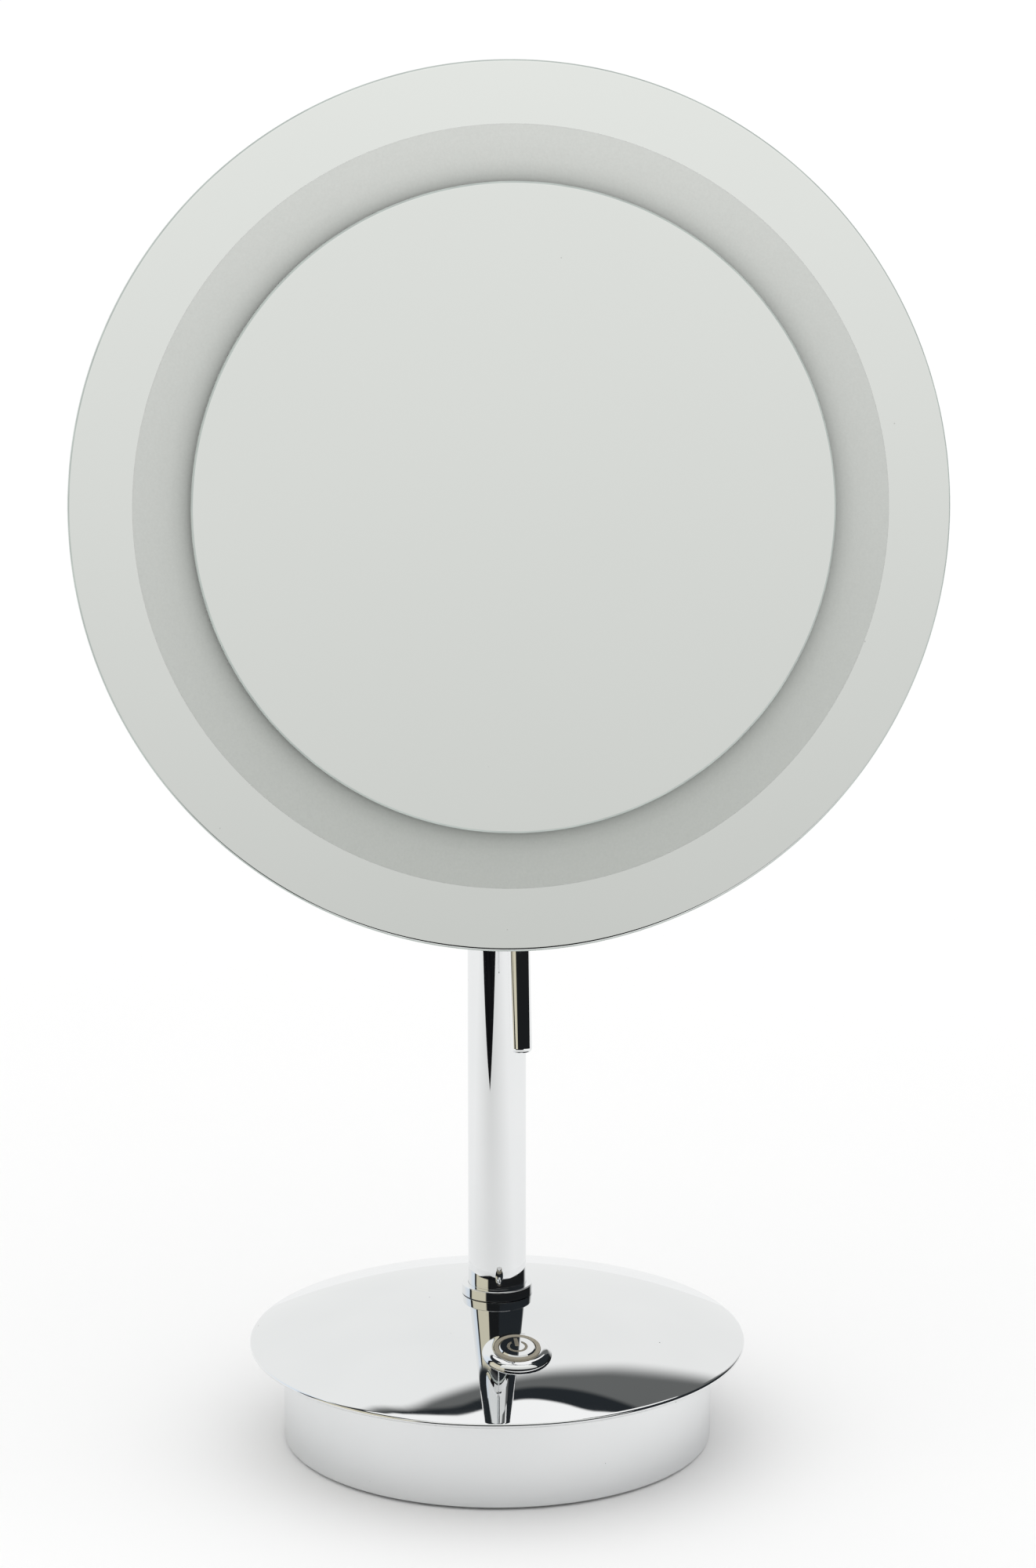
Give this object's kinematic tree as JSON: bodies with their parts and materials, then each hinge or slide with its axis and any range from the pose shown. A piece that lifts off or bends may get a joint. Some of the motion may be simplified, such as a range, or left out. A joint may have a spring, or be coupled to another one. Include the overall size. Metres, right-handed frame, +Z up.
{
  "type": "lighted vanity mirror",
  "caption": "Round tabletop magnifying mirror with a frosted light ring, tilting head, swivelling stem, domed base with push button and battery bay.",
  "frame": {"origin": "centre of the base on the table, on the swivel axis", "axes": "+Z up, +Y towards the back, +X to the right seen from the front; the mirror faces -Y"},
  "size_m": [0.203, 0.1208, 0.335],
  "materials": {
    "chrome": "polished",
    "mirror_glass": "polished",
    "frosted_glass": "frosted",
    "zinc_steel": "plated",
    "spring_steel": "bright",
    "iron": "cast",
    "brass": "turned",
    "black_plastic": "fine grain",
    "white_plastic": "moulded",
    "beige_plastic": "moulded",
    "nylon": "moulded",
    "rubber": "matte",
    "foam": "foam",
    "circuit_board": "solder mask",
    "led_board_white": "solder mask",
    "led_yellow": "phosphor",
    "component_black": "moulded",
    "wire_red": "insulation",
    "cell_jacket": "shrink sleeve",
    "symbol": "filled"
  },
  "bodies": {
    "base": {"base_dome": "chrome", "base_drum": "chrome", "collar_washer": "nylon", "stop_post": "zinc_steel", "ballast_plate": "iron", "dome_studs": "zinc_steel", "standoffs": "brass", "base_pan": "black_plastic", "pan_screws": "zinc_steel", "rubber_feet": "rubber", "battery_contacts": "brass", "battery_springs": "spring_steel", "battery_1": "cell_jacket", "battery_2": "cell_jacket", "battery_3": "cell_jacket", "battery_4": "cell_jacket", "driver_board": "circuit_board", "driver_components": "component_black", "base_wiring": "wire_red", "switch_bezel": "chrome", "switch_body": "beige_plastic", "switch_nut": "zinc_steel", "button_spring": "spring_steel"},
    "battery_door": {"battery_door": "black_plastic"},
    "power_button": {"power_button": "chrome", "power_symbol": "symbol"},
    "stem": {"stem_tube": "chrome", "collar": "chrome", "swivel_spindle": "zinc_steel", "swivel_washer": "nylon", "stop_washer": "zinc_steel", "wave_washer": "spring_steel", "lock_nut": "brass", "stem_fork": "chrome", "tilt_pin": "chrome", "tilt_nut": "chrome", "friction_washers": "brass", "stem_wiring": "wire_red"},
    "head": {"outer_mirror_ring": "mirror_glass", "diffuser_ring": "frosted_glass", "magnifying_mirror": "mirror_glass", "mirror_tape": "foam", "mirror_carrier": "white_plastic", "reflector_trough": "white_plastic", "led_board": "led_board_white", "leds": "led_yellow", "glass_frame": "chrome", "glass_gasket": "rubber", "rear_housing": "chrome", "back_screws": "zinc_steel", "rim_screws": "zinc_steel", "hinge_lug": "chrome", "lug_screws": "zinc_steel", "adjusting_handle": "chrome", "handle_nut": "zinc_steel", "head_wiring": "wire_red"}
  },
  "joints": [
    {"name": "stem_swivel", "type": "hinge", "parent": "base", "child": "stem", "pos_m": [0, 0, 0.036], "axis": [0, 0, 1], "range_deg": [-160, 160]},
    {"name": "head_tilt", "type": "hinge", "parent": "stem", "child": "head", "pos_m": [0, 0, 0.23], "axis": [-1, 0, 0], "range_deg": [-12, 80]},
    {"name": "power_button_push", "type": "slide", "parent": "base", "child": "power_button", "axis": [0, 0.2159, -0.9764], "range_m": [0, 0.0008], "stiffness_N_per_m": 600, "springref_m": -0.0006, "deforming": ["button_spring"]},
    {"name": "battery_door_hinge", "type": "hinge", "parent": "base", "child": "battery_door", "pos_m": [0, 0.0262, 0.0021], "axis": [1, 0, 0], "range_deg": [0, 95]}
  ]
}
